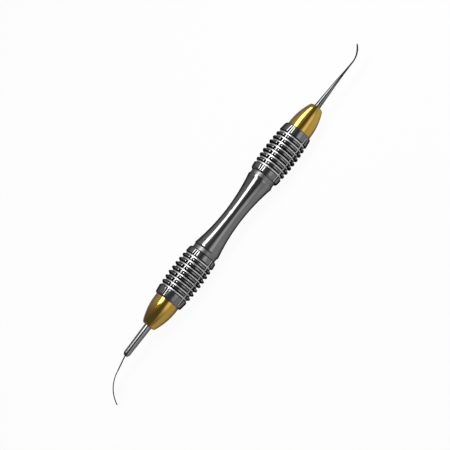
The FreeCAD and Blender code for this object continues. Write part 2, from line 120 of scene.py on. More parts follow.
def rounded(corners, radii, steps):
    """An open profile whose corners are rounded by arcs.

    At each corner the arc touches both sides at radius / tan(inner angle / 2) from the corner,
    shortened to a little under half of the shorter side. Its points are a quadratic curve between
    those two touching points with the corner as its handle, which for small turns stays close to the arc.
    """
    corners = np.asarray(corners, dtype=float)
    radii = np.asarray(radii, dtype=float)
    before = np.roll(corners, 1, axis=0) - corners
    after = np.roll(corners, -1, axis=0) - corners
    before[0], after[-1] = after[0], before[-1]
    before_length = np.linalg.norm(before, axis=1)
    after_length = np.linalg.norm(after, axis=1)
    before /= before_length[:, None]
    after /= after_length[:, None]
    inner = np.arccos(np.clip((before * after).sum(axis=1), -1, 1))
    touch = radii / np.tan(np.maximum(inner, SHARPEST) / 2)
    touch = np.minimum(touch, MOST_OF_A_SIDE * np.minimum(before_length, after_length))
    share = np.linspace(0, 1, steps)[None, :, None]
    start = (corners + before * touch[:, None])[:, None]
    finish = (corners + after * touch[:, None])[:, None]
    corner = corners[:, None]
    arc = (1 - share) ** 2 * start + 2 * share * (1 - share) * corner + share ** 2 * finish
    keep = np.ones((len(corners), steps), dtype=bool)
    keep[radii == 0, 1:] = False
    return arc[keep]


def spaced(profile, gap, closed=True):
    """The profile with extra points, evenly spaced on each side that is longer than the gap."""
    following = np.roll(profile, -1, axis=0) if closed else profile[1:]
    first = profile if closed else profile[:-1]
    length = np.linalg.norm(following - first, axis=1)
    parts = np.maximum(1, np.ceil(length / gap).astype(int))
    side = np.repeat(np.arange(len(first)), parts)
    step = np.arange(len(side)) - np.repeat(np.cumsum(parts) - parts, parts)
    share = (step / parts[side])[:, None]
    result = first[side] * (1 - share) + following[side] * share
    return result if closed else np.concatenate([result, profile[-1:]])


def turned(profile, columns):
    """The grid of a turned piece: each profile point (x, r) goes round the x axis.

    A point is (x, r cos a, r sin a) with a falling round the turn, so that a profile drawn from
    small x to large x over the top has its faces outward.
    """
    angle = -FULL_TURN * np.arange(columns) / columns
    x = np.repeat(profile[:, :1], columns, axis=1)
    r = profile[:, 1:]
    return np.stack([x, r * np.cos(angle), r * np.sin(angle)], axis=-1)


# Handle

WAIST_HALF = 17.05
WAIST_RADIUS = 3.6
WAIST_ARC = 78.0
NECK_LENGTH = 1.55
NECK_RADIUS = 5.05
GRIP_CENTRE = 29.07
GRIP_RADIUS = 6.62
BARREL = 75.0
BAND_EDGE = 5.45
BEVEL = 0.45
BORE = 2.3
SOCKET = 3.63
SOCKET_FLOOR = 33.25
RINGS = 8
PITCH = 2.065
RING_FLOOR = 5.55
RING_FLOOR_WIDTH = 0.42
RING_MOUTH = 1.45
RING_ROUNDINGS = (0.24, 0.06, 0.06, 0.24)
INNER_BAND_ROUNDINGS = (0.2, 0.1, 0.2, 0.25)
OUTER_BAND_ROUNDINGS = (0.3, 0.15, 0.05, 0.0, 0.0)
WAIST_POINTS = 30
ROUNDING_POINTS = 4
HANDLE_GAP = 0.9

# Lengthwise grooves: a flat floor, sides that lean out by LONG_WALL, and a soft crease at their mouths
LONG_GROOVES = 5
LONG_FLOOR = 5.97
LONG_FLOOR_HALF = 0.22
LONG_WALL = math.radians(57)
LONG_TURN = math.radians(45.3)
LONG_EDGE_ROUND = 0.22
LONG_FOLLOW = 0.4
# Least height over the floor that columns are worked out for, and how far under it a row is still cut
SHALLOWEST = 0.12
# Sine of the lean between a side and the line to it, under which the side counts as out of reach
LEAST_LEAN = 0.05
BEYOND_ANY_RADIUS = 1e3
# Shares of the floor's angle, of the side's angle and of the mouth's angle at which columns stand
ON_FLOOR = np.array([0.0, 0.5, 0.85, 0.97])
ON_SIDE = np.array([0.06, 0.3, 0.6, 0.85, 0.97])
PAST_MOUTH = np.array([1.04, 1.12, 1.22, 1.35, 1.5, 1.7, 2.0])
ON_CREST = 5


def barrel(x):
    """Height of the grip's barrel at a distance x from the middle: an arc about the grip's centre."""
    return GRIP_RADIUS - BARREL + np.sqrt(BARREL ** 2 - (x - GRIP_CENTRE) ** 2)


def long_floor_height(x):
    """Height of a lengthwise groove's floor, which falls by a share of the barrel's own fall."""
    return LONG_FLOOR - LONG_FOLLOW * (GRIP_RADIUS - barrel(x))


def side_line(floor):
    """Distance from the axis to the plane of a groove's side: f sin h - w cos h."""
    return floor * math.sin(LONG_WALL) - LONG_FLOOR_HALF * math.cos(LONG_WALL)


def handle_profile():
    """The handle's outline as one closed loop: half of it, x from 0 outward, and that half's mirror image.

    The waist is an arc whose lowest point is at x = 0. The barrel carries evenly spaced ring grooves,
    each with four corners: two on the barrel and two on the groove's floor.
    """
    band = WAIST_HALF + NECK_LENGTH
    waist_x = np.linspace(0, WAIST_HALF, WAIST_POINTS)[1:]
    waist_r = WAIST_RADIUS + WAIST_ARC - np.sqrt(WAIST_ARC ** 2 - waist_x ** 2)
    waist = np.stack([waist_x, waist_r], axis=-1)
    places = GRIP_CENTRE + (np.arange(RINGS) - (RINGS - 1) / 2) * PITCH
    offsets = np.array([-RING_MOUTH, -RING_FLOOR_WIDTH, RING_FLOOR_WIDTH, RING_MOUTH]) / 2
    groove_x = places[:, None] + offsets
    floor_r = np.full(RINGS, RING_FLOOR)
    groove_r = np.stack([barrel(groove_x[:, 0]), floor_r, floor_r, barrel(groove_x[:, 3])], axis=-1)
    grooves = np.stack([groove_x, groove_r], axis=-1).reshape(-1, 2)
    start = np.array([
        [WAIST_HALF, NECK_RADIUS], [band, NECK_RADIUS], [band, BAND_EDGE],
        [band + BEVEL, barrel(band + BEVEL)],
    ])
    finish = np.array([
        [HALF_HANDLE - BEVEL, barrel(HALF_HANDLE - BEVEL)], [HALF_HANDLE, BAND_EDGE],
        [HALF_HANDLE, SOCKET], [SOCKET_FLOOR, SOCKET], [SOCKET_FLOOR, BORE],
    ])
    # The neck's own edge takes the place of the waist's last point
    corners = np.concatenate([waist[-2:-1], start, grooves, finish])
    radii = [0.0, *INNER_BAND_ROUNDINGS, *(RING_ROUNDINGS * RINGS), *OUTER_BAND_ROUNDINGS]
    half = np.concatenate([waist[:-2], rounded(corners, radii, ROUNDING_POINTS)])
    mirrored = half[::-1] * [-1, 1]
    whole = np.concatenate([mirrored, [[0, WAIST_RADIUS]], half])
    return spaced(whole, HANDLE_GAP)


def column_angles(radius, floor):
    """Angles of the columns on each row, crowded at the edges of the lengthwise grooves.

    A groove with a flat floor of half width w at a height f, and sides that lean out by the angle h,
    meets a round of radius R at h - asin((f sin h - w cos h) / R) from its middle. The columns of half
    a sector lie at fixed shares of the floor's angle, of the side's and just past it, then evenly up
    to the middle of the crest, and the other half mirrors them.
    """
    reach = np.maximum(radius, floor + SHALLOWEST)
    edge = (LONG_WALL - np.arcsin(side_line(floor) / reach))[:, None]
    corner = np.arctan(LONG_FLOOR_HALF / floor)[:, None]
    near = np.concatenate([
        corner * ON_FLOOR, corner + (edge - corner) * ON_SIDE, edge * PAST_MOUTH,
    ], axis=1)
    crest = math.pi / LONG_GROOVES
    far = near[:, -1:] + (crest - near[:, -1:]) * np.arange(1, ON_CREST + 1) / ON_CREST
    half = np.concatenate([near, far], axis=1)
    sector = np.concatenate([half, 2 * crest - half[:, 1:-1][:, ::-1]], axis=1)
    turns = 2 * crest * np.arange(LONG_GROOVES)
    return (sector[:, None, :] + turns[None, :, None]).reshape(len(radius), -1)


def lengthwise_groove(angle, floor):
    """Distance from the axis to a groove's floor and sides at an angle a from its middle.

    The floor is f / cos(a) and a side is (f sin h - w cos h) / sin(h - |a|), whichever is farther out.
    Near the angle h and past it no side is met, and the distance is beyond any radius.
    """
    sector = FULL_TURN / LONG_GROOVES
    from_middle = np.abs((angle + sector / 2) % sector - sector / 2)
    lean = np.sin(LONG_WALL - from_middle)
    side = side_line(floor) / np.maximum(lean, LEAST_LEAN)
    side = np.where(lean > LEAST_LEAN, side, BEYOND_ANY_RADIUS)
    return np.maximum(floor / np.cos(from_middle), side)


def softly_least(first, second, blend):
    """The lesser of two heights with the crease rounded: their mean less half the root of gap^2 + blend^2."""
    return (first + second - np.sqrt((first - second) ** 2 + blend ** 2)) / 2


def make_handle():
    """The turned outline, cut down to the lengthwise grooves where they are deeper.

    A point's distance from the axis is the softly lesser of the outline's and the groove's at its
    angle. Rows well under the grooves' floors, such as the bore, the waist and the rings' floors,
    aren't cut.
    """
    profile = handle_profile()
    floor = long_floor_height(np.abs(profile[:, 0]))
    angle = column_angles(profile[:, 1], floor)
    radius = np.repeat(profile[:, 1:], angle.shape[1], axis=1)
    outside = (profile[:, 1] > floor - SHALLOWEST)[:, None]
    grooved = softly_least(radius, lengthwise_groove(angle, floor[:, None]), LONG_EDGE_ROUND)
    radius = np.where(outside, grooved, radius)
    turn = LONG_TURN + math.pi / 2 - angle
    x = np.repeat(profile[:, :1], angle.shape[1], axis=1)
    points = np.stack([x, radius * np.cos(turn), radius * np.sin(turn)], axis=-1)
    return skin("gunmetal_handle", in_place(points, "middle"), along_closed=True)


# Gold cones

CONE_LENGTH = 11.8
CONE_BASE = 5.03
CONE_COLLAR = 1.0
CONE_OGIVE = 25.0
CONE_ROUNDING = 1.1
SPIGOT_RADIUS = 3.6
SPIGOT_LENGTH = 7.0
TANG_LENGTH = 14.0
CLEARANCE = 0.02
# The closing fans of a turned piece start this far from its axis
NEARLY_AXIS = 0.05
OGIVE_POINTS = 28
TIP_POINTS = 12
CONE_COLUMNS = 144
CONE_GAP = 0.8
CONE_CORNER_POINTS = 5
SPIGOT_ROUNDING = 0.2
CONE_EDGE_ROUNDING = 0.12


def make_cone(name, end, tang_radius):
    """A spigot, a collar, an ogive arc, a rounded small end and a bore, turned as one outline.

    The ogive's centre lies on the far side of the axis. The rounding touches the ogive where both
    have the same slope, asin(reach / (ogive - rounding)).
    """
    reach = CONE_LENGTH - CONE_ROUNDING - CONE_COLLAR
    inner = CONE_OGIVE - CONE_ROUNDING
    slope = math.asin(reach / inner)
    ogive_turn = np.linspace(0, slope, OGIVE_POINTS)
    centre_r = CONE_BASE - CONE_OGIVE
    ogive = np.stack([
        CONE_COLLAR + CONE_OGIVE * np.sin(ogive_turn), centre_r + CONE_OGIVE * np.cos(ogive_turn),
    ], axis=-1)
    tip_turn = np.linspace(slope, math.pi / 2, TIP_POINTS)[1:]
    tip_r = centre_r + inner * math.cos(slope)
    tip = np.stack([
        CONE_LENGTH - CONE_ROUNDING + CONE_ROUNDING * np.sin(tip_turn),
        tip_r + CONE_ROUNDING * np.cos(tip_turn),
    ], axis=-1)
    bore = tang_radius + CLEARANCE
    bore_end = CONE_LENGTH - TANG_LENGTH
    base = rounded(
        [[-SPIGOT_LENGTH, NEARLY_AXIS], [-SPIGOT_LENGTH, SPIGOT_RADIUS], [0.0, SPIGOT_RADIUS],
         [0.0, CONE_BASE], [CONE_COLLAR, CONE_BASE]],
        [0, SPIGOT_ROUNDING, 0, CONE_EDGE_ROUNDING, 0], CONE_CORNER_POINTS,
    )
    mouth = rounded(
        [tip[-1], [CONE_LENGTH, bore], [bore_end, bore], [bore_end, NEARLY_AXIS]],
        [0, CONE_EDGE_ROUNDING, 0, 0], CONE_CORNER_POINTS,
    )
    profile = np.concatenate([base[:-1], ogive, tip[:-1], mouth])
    profile = spaced(profile, CONE_GAP, closed=False)
    return skin(name, in_place(turned(profile, CONE_COLUMNS), end))


# Lower shank

SHANK_LENGTH = 13.8
SHANK_ROOT = 1.5
SHANK_NOSE = 1.3
NOSE_BEVEL = 0.95
NOSE_FACE = 0.75
NOSE = CONE_LENGTH + SHANK_LENGTH
BLADE_THICKNESS = 0.48
BLADE_ROOT = 4.3
BLADE_NECK = 2.2
SLIT_CLEARANCE = 0.02
SHANK_END_AXIS = 0.02
TANG_ROUNDING = 0.1
NOSE_ROUNDING = 0.35
NOSE_FACE_ROUNDING = 0.2
SHANK_CORNER_POINTS = 8
SHANK_GAP = 0.35
# Two rows stand this far to each side of the slit's floor
SLIT_EDGE = 0.01
# The radius in the slit is this much less than half the blade's neck
SLIT_SINK = 0.04
# Shares of the slit's angle at which columns stand, the last one just outside it
IN_SLIT = np.array([0, 0.5, 0.97, 1.03])
QUARTER_COLUMNS = 16


def make_lower_shank():
    """A turned rod whose radius drops to just inside the blade's edges in the slit.

    The slit opens at the two ends of the z axis, over asin(half the slit / nose radius) to each side
    of it. Past the slit's floor and inside that angle the radius is the lesser of the turned one and
    a little less than half the blade's neck.
    """
    tang_end = CONE_LENGTH - TANG_LENGTH
    profile = rounded(
        [[tang_end, SHANK_END_AXIS], [tang_end, SHANK_ROOT], [CONE_LENGTH, SHANK_ROOT],
         [NOSE - NOSE_BEVEL, SHANK_NOSE], [NOSE, NOSE_FACE], [NOSE, SHANK_END_AXIS]],
        [0, TANG_ROUNDING, 0, NOSE_ROUNDING, NOSE_FACE_ROUNDING, 0], SHANK_CORNER_POINTS,
    )
    profile = spaced(profile, SHANK_GAP, closed=False)
    slit_floor = NOSE - BLADE_ROOT
    floor_x = np.array([slit_floor - SLIT_EDGE, slit_floor + SLIT_EDGE])
    floor_rows = np.stack([floor_x, np.interp(floor_x, profile[:, 0], profile[:, 1])], axis=-1)
    place = np.searchsorted(profile[:, 0], slit_floor)
    profile = np.concatenate([profile[:place], floor_rows, profile[place:]])
    slit = math.asin((BLADE_THICKNESS / 2 + SLIT_CLEARANCE) / SHANK_NOSE)
    inside = slit * IN_SLIT
    quarter = np.concatenate([inside, np.linspace(inside[-1], math.pi / 2, QUARTER_COLUMNS + 1)[1:]])
    half = np.concatenate([quarter, math.pi - quarter[1:-1][::-1]])
    angle = np.concatenate([half, math.pi + half])
    radius = np.repeat(profile[:, 1:], len(angle), axis=1)
    x = np.repeat(profile[:, :1], len(angle), axis=1)
    in_slit = (x > slit_floor) & (np.abs(np.sin(angle)) < math.sin(slit))
    radius = np.where(in_slit, np.minimum(radius, BLADE_NECK / 2 - SLIT_SINK), radius)
    points = np.stack([x, radius * np.sin(angle), radius * np.cos(angle)], axis=-1)
    return skin("polished_lower_shank", in_place(points, "lower"))


# Spatula blade

ROOT_BEND = 3.0
ROOT_ANGLE = math.radians(12)
STRAIGHT = 6.4
LONG_BEND = 13.0
LONG_ANGLE = math.radians(53.5)
OUTLINE_ANGLE = math.radians(45)
BLADE_WIDTH = 7.2
NECK_FILLET = 12.0
FLARE = math.radians(13.5)
WIDEST = 4.4
SHOULDER = 2.9
TIP_ROUND = 0.9
# Grind line: its distance from the nose, its bow over a half width, and its step's slope and depth
GRIND_FROM_NOSE = 5.4
GRIND_HALF_WIDTH = 1.3
GRIND_BOW = 0.55
GRIND_SLOPE = 0.05
GRIND_DEPTH = 0.16
BLADE_ROWS = 130
BLADE_TIP_ROWS = 40
BLADE_TIP_STRETCH = 3.2
BLADE_COLUMNS = 48
# Powers of the section's cosine and sine
EDGE_ROUND = 0.62
FACE_FLAT = 0.18
LEAST_HALF_WIDTH = 0.03


def blade_line(run):
    """The blade's middle line at a run from its root end: x, y and heading.

    It is a straight root, a small arc at the nose, a straight stretch and the long bend, each
    continuing from the last with the same heading.
    """
    lengths = np.array([BLADE_ROOT, ROOT_BEND * ROOT_ANGLE, STRAIGHT, LONG_BEND * LONG_ANGLE])
    ends = np.cumsum(lengths)
    first = np.minimum(run, ends[0])
    small = np.clip(run - ends[0], 0, lengths[1]) / ROOT_BEND
    third = np.clip(run - ends[1], 0, lengths[2])
    large = np.clip(run - ends[2], 0, lengths[3]) / LONG_BEND
    heading = small + large
    x = NOSE - BLADE_ROOT + first + ROOT_BEND * np.sin(small) + third * math.cos(ROOT_ANGLE)
    x = x + LONG_BEND * (np.sin(ROOT_ANGLE + large) - math.sin(ROOT_ANGLE))
    y = ROOT_BEND * (1 - np.cos(small)) + third * math.sin(ROOT_ANGLE)
    y = y + LONG_BEND * (math.cos(ROOT_ANGLE) - np.cos(ROOT_ANGLE + large))
    return x, y, heading


def blade_half_width(from_tip):
    """Half the spade's width at a distance back from its tip, seen square on.

    Tip arc, a straight fall that touches both arcs, the shoulder's arc, a straight flare at the
    flare angle, the neck's fillet and the neck.
    """
    crest_y = BLADE_WIDTH / 2 - SHOULDER
    apart = math.hypot(WIDEST - TIP_ROUND, crest_y)
    fall = math.asin((SHOULDER - TIP_ROUND) / apart) + math.atan2(crest_y, WIDEST - TIP_ROUND)
    neck = BLADE_NECK / 2
    flare_d = WIDEST + SHOULDER * math.sin(FLARE)
    flare_y = crest_y + SHOULDER * math.cos(FLARE)
    leave_y = neck + NECK_FILLET * (1 - math.cos(FLARE))
    leave_d = flare_d + (flare_y - leave_y) / math.tan(FLARE)
    fillet_d = leave_d + NECK_FILLET * math.sin(FLARE)
    side_d = WIDEST - SHOULDER * math.sin(fall)
    side_y = crest_y + SHOULDER * math.cos(fall)
    round_d = TIP_ROUND - TIP_ROUND * math.sin(fall)
    round_y = TIP_ROUND * math.cos(fall)
    d = from_tip
    tip = np.sqrt(np.maximum(TIP_ROUND ** 2 - (d - TIP_ROUND) ** 2, 0))
    straight = round_y + (side_y - round_y) * (d - round_d) / (side_d - round_d)
    shoulder = crest_y + np.sqrt(np.maximum(SHOULDER ** 2 - (d - WIDEST) ** 2, 0))
    flare = flare_y - (d - flare_d) * math.tan(FLARE)
    fillet = neck + NECK_FILLET - np.sqrt(np.maximum(NECK_FILLET ** 2 - (fillet_d - d) ** 2, 0))
    return np.select(
        [d < round_d, d < side_d, d < flare_d, d < leave_d, d < fillet_d],
        [tip, straight, shoulder, flare, fillet], neck,
    )


def flat_section(half_width, half_thickness):
    """A thin bar's cross-section for each row: two flat faces joined by rounded edges.

    With c and s the cosine and sine round the section, a point lies at |c|^p of the half width and
    |s|^q of the half thickness, where the small powers flatten the faces and round only the edges.
    """
    turn = FULL_TURN * (np.arange(BLADE_COLUMNS) + 0.5) / BLADE_COLUMNS
    c, s = np.cos(turn), np.sin(turn)
    across = np.sign(c) * np.abs(c) ** EDGE_ROUND
    up = np.sign(s) * np.abs(s) ** FACE_FLAT
    return half_width[:, None] * across, half_thickness * up


def make_blade():
    """Sections square to the blade's line, as wide as the spade at the same distance from its tip.

    Past the grind line, a shallow curve across the blade, the faces lie a little lower. The step is
    1 / (1 + e^-(distance past the line / slope)).
    """
    total = BLADE_ROOT + ROOT_BEND * ROOT_ANGLE + STRAIGHT + LONG_BEND * LONG_ANGLE
    tip_start = total - BLADE_TIP_STRETCH
    tip_run = BLADE_TIP_STRETCH * np.sin(np.linspace(0, math.pi / 2, BLADE_TIP_ROWS)[1:])
    run = np.concatenate([np.linspace(0, tip_start, BLADE_ROWS), tip_start + tip_run])
    x, y, heading = blade_line(run)
    tip_x, tip_y = x[-1], y[-1]
    back = (tip_x - x) * math.cos(OUTLINE_ANGLE) + (tip_y - y) * math.sin(OUTLINE_ANGLE)
    half_width = np.maximum(blade_half_width(np.maximum(back, 0)), LEAST_HALF_WIDTH)
    across, up = flat_section(half_width, BLADE_THICKNESS / 2)
    ground = BLADE_ROOT + GRIND_FROM_NOSE + GRIND_BOW * (1 - (across / GRIND_HALF_WIDTH) ** 2)
    past = 1 / (1 + np.exp(-(run[:, None] - ground) / GRIND_SLOPE))
    up = up * (1 - GRIND_DEPTH * past)
    points = np.stack([
        x[:, None] - up * np.sin(heading)[:, None],
        y[:, None] + up * np.cos(heading)[:, None],
        -across,
    ], axis=-1)
    return skin("spring_steel_blade", in_place(points, "lower"))


# Upper tip

TIP_SHANK_ROOT = 1.26
TIP_SHANK_LENGTH = 12.4
TIP_SHANK_END = 0.66
LEAF_BACK = math.radians(1.5)
LEAF_STRAIGHT = 9.8
LEAF_RADIUS = 9.3
LEAF_ANGLE = math.radians(49)
LEAF_BEND = LEAF_RADIUS * LEAF_ANGLE
LEAF_START = TIP_SHANK_LENGTH + LEAF_STRAIGHT
LEAF_END = LEAF_START + LEAF_BEND
# The shank turns into the leaf over this stretch before its end, and turns back about its end
SHANK_FADE = 2.0
TURN_BACK = 1.2
POINT_STRETCH = 0.7
POINT_HALF = 0.02
POINT_BLUNT = 0.35
LEAF_FLAT = 0.35
LEAF_COLUMNS = 64
TANG_ROWS = 20
LEAF_ROWS = 150
POINT_ROWS = 16
# Places along the leaf, and the width and thickness of its oval at each
LEAF_PLACES = (
    TIP_SHANK_LENGTH - SHANK_FADE, TIP_SHANK_LENGTH, TIP_SHANK_LENGTH + LEAF_STRAIGHT / 2, LEAF_START,
    LEAF_START + 0.35 * LEAF_BEND, LEAF_START + 0.7 * LEAF_BEND, LEAF_START + 0.9 * LEAF_BEND, LEAF_END,
)
LEAF_WIDTHS = (1.5, 1.36, 1.9, 2.5, 2.5, 2.35, 1.75, 1.0)
LEAF_DEPTHS = (1.5, 1.32, 0.84, 0.58, 0.5, 0.48, 0.38, 0.36)


def smooth_through(run, places, heights):
    """A smooth curve through given heights, made of cubic pieces.

    Its slope at a place is the mean of the slopes on the two sides, weighted for uneven spacing.
    """
    places, heights = np.asarray(places, dtype=float), np.asarray(heights, dtype=float)
    slopes = np.gradient(heights, places)
    side = np.clip(np.searchsorted(places, run) - 1, 0, len(places) - 2)
    width = places[side + 1] - places[side]
    share = np.clip((run - places[side]) / width, 0, 1)
    first = heights[side] * (2 * share ** 3 - 3 * share ** 2 + 1)
    first = first + slopes[side] * width * (share ** 3 - 2 * share ** 2 + share)
    second = heights[side + 1] * (3 * share ** 2 - 2 * share ** 3)
    return first + second + slopes[side + 1] * width * (share ** 3 - share ** 2)


def make_upper_tip():
    """Ovals square to a straight taper that turns back a little and then bends in one arc.

    An oval's point lies at |cos|^p of the half width and |sin|^p of the half thickness, with p going
    from 1 on the shank to 1 - LEAF_FLAT on the leaf. At the point the width closes along a quarter
    circle, and the thickness does too, but only down to POINT_BLUNT of itself.
    """
    point_start = LEAF_END - POINT_STRETCH
    point_turn = np.linspace(0, math.pi / 2, POINT_ROWS)[1:]
    run = np.concatenate([
        np.linspace(-TANG_LENGTH, 0, TANG_ROWS)[:-1], np.linspace(0, point_start, LEAF_ROWS),
        point_start + POINT_STRETCH * np.sin(point_turn),
    ])
    straight = np.clip(run - TIP_SHANK_LENGTH, 0, LEAF_STRAIGHT)
    turned_by = np.clip(run - LEAF_START, 0, LEAF_BEND) / LEAF_RADIUS
    set_back = LEAF_BACK * np.clip((run - TIP_SHANK_LENGTH) / TURN_BACK + 0.5, 0, 1)
    heading = turned_by - set_back
    x = CONE_LENGTH + np.minimum(run, TIP_SHANK_LENGTH) + straight * math.cos(LEAF_BACK)
    x = x + LEAF_RADIUS * (np.sin(turned_by - LEAF_BACK) + math.sin(LEAF_BACK))
    y = -straight * math.sin(LEAF_BACK)
    y = y + LEAF_RADIUS * (math.cos(LEAF_BACK) - np.cos(turned_by - LEAF_BACK))
    along_shank = np.clip(run / TIP_SHANK_LENGTH, 0, 1)
    shank_width = 2 * (TIP_SHANK_ROOT + (TIP_SHANK_END - TIP_SHANK_ROOT) * along_shank)
    on_shank = run < LEAF_PLACES[0]
    width = np.where(on_shank, shank_width, smooth_through(run, LEAF_PLACES, LEAF_WIDTHS))
    depth = np.where(on_shank, shank_width, smooth_through(run, LEAF_PLACES, LEAF_DEPTHS))
    close = np.sqrt(1 - ((run - point_start) / POINT_STRETCH).clip(0, 1) ** 2)
    half_width = np.maximum(width / 2 * close, POINT_HALF)
    half_depth = np.maximum(depth / 2 * (POINT_BLUNT + (1 - POINT_BLUNT) * close), POINT_HALF)
    turn = FULL_TURN * np.arange(LEAF_COLUMNS) / LEAF_COLUMNS
    power = 1 - LEAF_FLAT * np.clip((run - TIP_SHANK_LENGTH) / LEAF_STRAIGHT, 0, 1)[:, None]
    across = half_width[:, None] * np.sign(np.cos(turn)) * np.abs(np.cos(turn)) ** power
    up = half_depth[:, None] * np.sign(np.sin(turn)) * np.abs(np.sin(turn)) ** power
    points = np.stack([
        x[:, None] - up * np.sin(heading)[:, None],
        y[:, None] + up * np.cos(heading)[:, None],
        -across,
    ], axis=-1)
    return skin("polished_upper_tip", in_place(points, "upper"))


# Materials

def new_material(name):
    """A material with its nodes, its links and its own shader."""
    material = bpy.data.materials.new(name)
    material.use_nodes = True
    nodes, links = material.node_tree.nodes, material.node_tree.links
    return material, nodes, links, nodes["Principled BSDF"]


def own_coordinates(nodes, links, scale, place=(0.0, 0.0, 0.0)):
    """The piece's own coordinates in metres, stretched and then moved for a pattern."""
    where = nodes.new("ShaderNodeTexCoord")
    mapping = nodes.new("ShaderNodeMapping")
    mapping.inputs["Location"].default_value = place
    mapping.inputs["Scale"].default_value = scale
    links.new(where.outputs["Object"], mapping.inputs["Vector"])
    return mapping.outputs["Vector"]


def noise(nodes, links, vector, scale, detail, roughness=0.5):
    """Cloudy noise from 0 to 1."""
    texture = nodes.new("ShaderNodeTexNoise")
    texture.inputs["Scale"].default_value = scale
    texture.inputs["Detail"].default_value = detail
    texture.inputs["Roughness"].default_value = roughness
    links.new(vector, texture.inputs["Vector"])
    return texture.outputs["Fac"]


def ramp(nodes, links, source, stops):
    """A colour ramp on a pattern: stops are (place, colour)."""
    stops = list(stops)
    node = nodes.new("ShaderNodeValToRGB")
    elements = node.color_ramp.elements
    while len(elements) < len(stops):
        elements.new(0.5)
    for element, (place, colour) in zip(elements, stops):
        element.position = place
        element.color = (*colour, 1.0)
    links.new(source, node.inputs["Fac"])
    return node.outputs["Color"]


def between(nodes, links, source, low, high):
    """A pattern from 0 to 1 carried to a range."""
    node = nodes.new("ShaderNodeMapRange")
    node.inputs["To Min"].default_value = low
    node.inputs["To Max"].default_value = high
    links.new(source, node.inputs["Value"])
    return node.outputs["Result"]


def add_bump(nodes, links, shader, height, distance):
    """A pattern's height as bumps on a shader, at full strength."""
    bump = nodes.new("ShaderNodeBump")
    bump.inputs["Strength"].default_value = 1.0
    bump.inputs["Distance"].default_value = distance
    links.new(height, bump.inputs["Height"])
    links.new(bump.outputs["Normal"], shader.inputs["Normal"])


def calculate(nodes, links, operation, first, second=None):
    """One sum on a pattern, or on two patterns, or on a pattern and a number."""
    node = nodes.new("ShaderNodeMath")
    node.operation = operation
    for number, term in enumerate((first, second)):
        if isinstance(term, float):
            node.inputs[number].default_value = term
        elif term is not None:
            links.new(term, node.inputs[number])
    return node.outputs[0]


def step_between(nodes, links, source, start, finish):
    """0 where the pattern is at start or beyond, 1 at finish or beyond, and even in between."""
    node = nodes.new("ShaderNodeMapRange")
    node.inputs["From Min"].default_value = start
    node.inputs["From Max"].default_value = finish
    links.new(source, node.inputs["Value"])
    return node.outputs["Result"]


def blend(nodes, links, share, first, second):
    """Two colours mixed by a share; the second is a plain colour."""
    node = nodes.new("ShaderNodeMix")
    node.data_type = "RGBA"
    links.new(share, node.inputs["Factor"])
    links.new(first, node.inputs["A"])
    node.inputs["B"].default_value = (*second, 1.0)
    return node.outputs["Result"]


def blend_number(nodes, links, share, first, second):
    """Two numbers mixed by a share; the second is a plain number."""
    node = nodes.new("ShaderNodeMix")
    node.data_type = "FLOAT"
    links.new(share, node.inputs["Factor"])
    links.new(first, node.inputs["A"])
    node.inputs["B"].default_value = second
    return node.outputs["Result"]


# Each metal's darker colour, its lighter colour and the range of its roughness
GUNMETAL = ((0.18, 0.18, 0.185), (0.22, 0.22, 0.225), (0.09, 0.16))
GOLD = ((0.46, 0.272, 0.01), (0.52, 0.31, 0.016), (0.1, 0.17))
STEEL = ((0.2, 0.2, 0.204), (0.25, 0.25, 0.255), (0.06, 0.12))
TAPER_STEEL = ((0.14, 0.14, 0.143), (0.17, 0.17, 0.174), (0.05, 0.1))
SPRING_STEEL = ((0.04, 0.04, 0.042), (0.07, 0.07, 0.072), (0.16, 0.24))

# Tint of the metal's reflection where it is seen at a flat slant
NO_RIM = (0.0, 0.0, 0.0)
GOLD_RIM = (0.1, 0.08, 0.05)
PLAIN = (1.0, 1.0, 1.0)

# Stretch of the fine lines, which lie across their large number
TURNED_LINES = (9000.0, 60.0, 60.0)
LENGTHWISE_LINES = (60.0, 9000.0, 60.0)
LINE_DEPTH = 2e-7

# Scale and detail of each noise, and the smudges' own roughness and stretch
LINES = (1.0, 2.0)
CLOUDS = (140.0, 4.0)
CLOUD_ENDS = (0.3, 0.7)
SMUDGES = (420.0, 6.0, 0.6)
SMUDGE_STRETCH = (0.5, 1.0, 1.0)


def metal(name, dark, light, rough, rim=NO_RIM, lines=TURNED_LINES):
    """Polished metal: cloudy colour, wiped smudges in the roughness, fine lines and a dark rim."""
    material, nodes, links, shader = new_material(name)
    shader.inputs["Metallic"].default_value = 1.0
    shader.inputs["Specular Tint"].default_value = (*rim, 1.0)
    clouds = noise(nodes, links, own_coordinates(nodes, links, PLAIN), *CLOUDS)
    colour = ramp(nodes, links, clouds, zip(CLOUD_ENDS, (dark, light)))
    smudges = noise(nodes, links, own_coordinates(nodes, links, SMUDGE_STRETCH), *SMUDGES)
    roughness = between(nodes, links, smudges, *rough)
    links.new(colour, shader.inputs["Base Color"])
    links.new(roughness, shader.inputs["Roughness"])
    height = noise(nodes, links, own_coordinates(nodes, links, lines), *LINES)
    add_bump(nodes, links, shader, height, LINE_DEPTH)
    return material, nodes, links, shader, colour, roughness


def split_place(nodes, links, vector):
    """The x, y and z of a place, as three patterns."""
    split = nodes.new("ShaderNodeSeparateXYZ")
    links.new(vector, split.inputs["Vector"])
    return split.outputs["X"], split.outputs["Y"], split.outputs["Z"]


def distance_from_axis(nodes, links, y, z):
    """The root of y^2 + z^2."""
    across = nodes.new("ShaderNodeCombineXYZ")
    links.new(y, across.inputs["Y"])
    links.new(z, across.inputs["Z"])
    length = nodes.new("ShaderNodeVectorMath")
    length.operation = "LENGTH"
    links.new(across.outputs["Vector"], length.inputs[0])
    return length.outputs["Value"]


